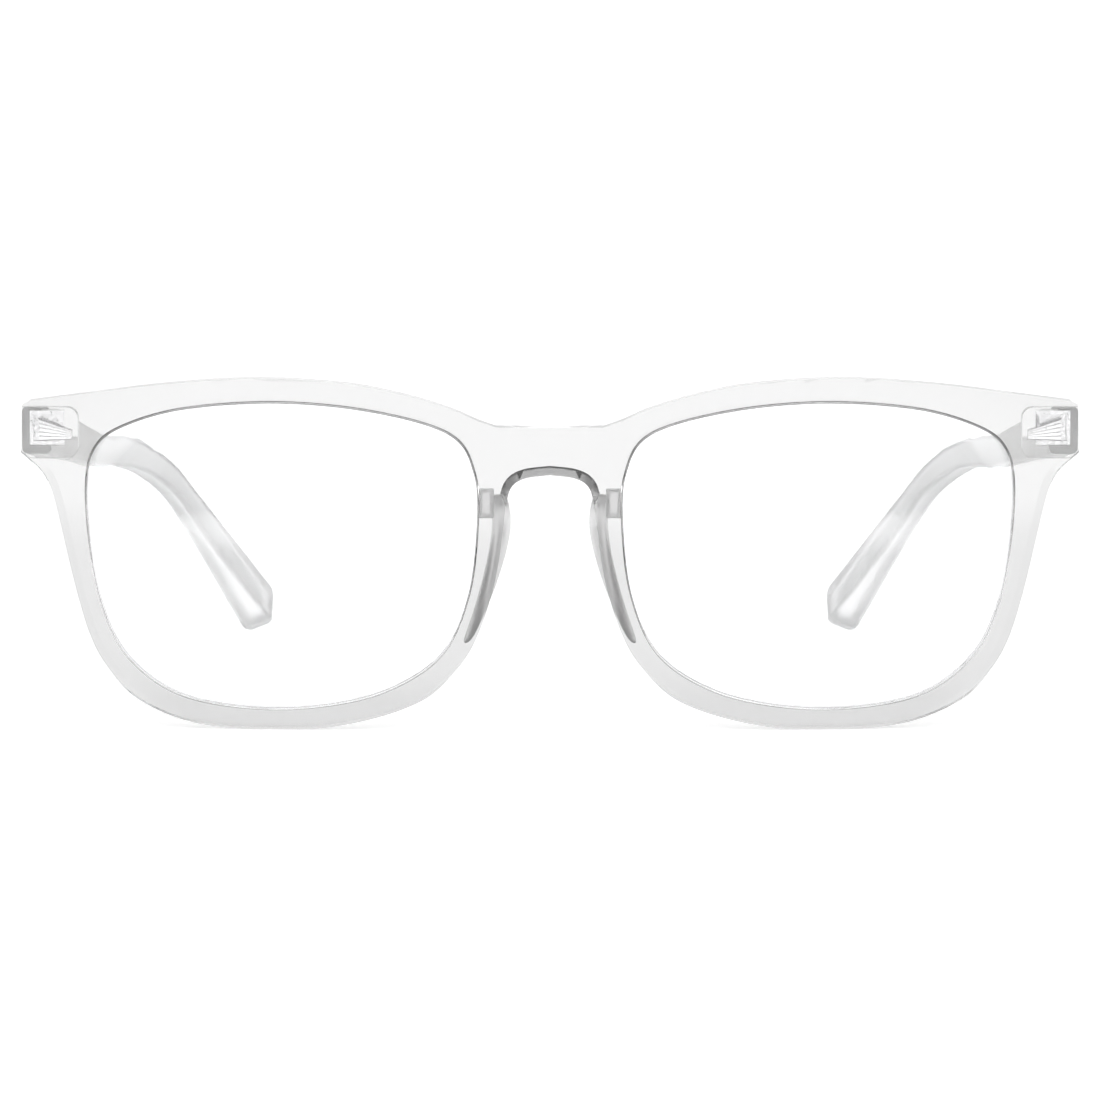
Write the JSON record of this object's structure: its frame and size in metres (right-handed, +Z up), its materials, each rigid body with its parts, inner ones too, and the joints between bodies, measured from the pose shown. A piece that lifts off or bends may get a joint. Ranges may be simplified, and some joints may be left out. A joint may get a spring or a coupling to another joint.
{
  "type": "blue light glasses",
  "caption": "Clear full-rim plastic glasses with square-oval plano lenses, a keyhole bridge, moulded nose pads and folding temples on metal hinges.",
  "frame": {"origin": "centre of the object's footprint, on the surface it stands on", "axes": "+Z up, +X towards the wearer's left, -Y the way the wearer looks"},
  "size_m": [0.142, 0.133, 0.0471],
  "materials": {
    "clear_plastic": "clear, polished",
    "clear_lens": "clear plastic lens with a faint anti-reflection coat",
    "hinge_metal": "bright plated metal",
    "screw_metal": "turned steel"
  },
  "bodies": {
    "front": {"front_frame": "clear_plastic", "left_lens": "clear_lens", "left_nose_pad": "clear_plastic", "left_front_hinge_leaf": "hinge_metal", "left_hinge_screw": "screw_metal", "right_lens": "clear_lens", "right_nose_pad": "clear_plastic", "right_front_hinge_leaf": "hinge_metal", "right_hinge_screw": "screw_metal"},
    "left_temple": {"left_temple": "clear_plastic", "left_temple_hinge_leaf": "hinge_metal"},
    "right_temple": {"right_temple": "clear_plastic", "right_temple_hinge_leaf": "hinge_metal"}
  },
  "joints": [
    {"name": "left_temple_fold", "type": "hinge", "parent": "front", "child": "left_temple", "pos_m": [0.0665, -0.05449, 0.04], "axis": [0, 0, 1], "range_deg": [0, 78]},
    {"name": "right_temple_fold", "type": "hinge", "parent": "front", "child": "right_temple", "pos_m": [-0.0665, -0.05449, 0.04], "axis": [0, 0, -1], "range_deg": [0, 66]}
  ]
}
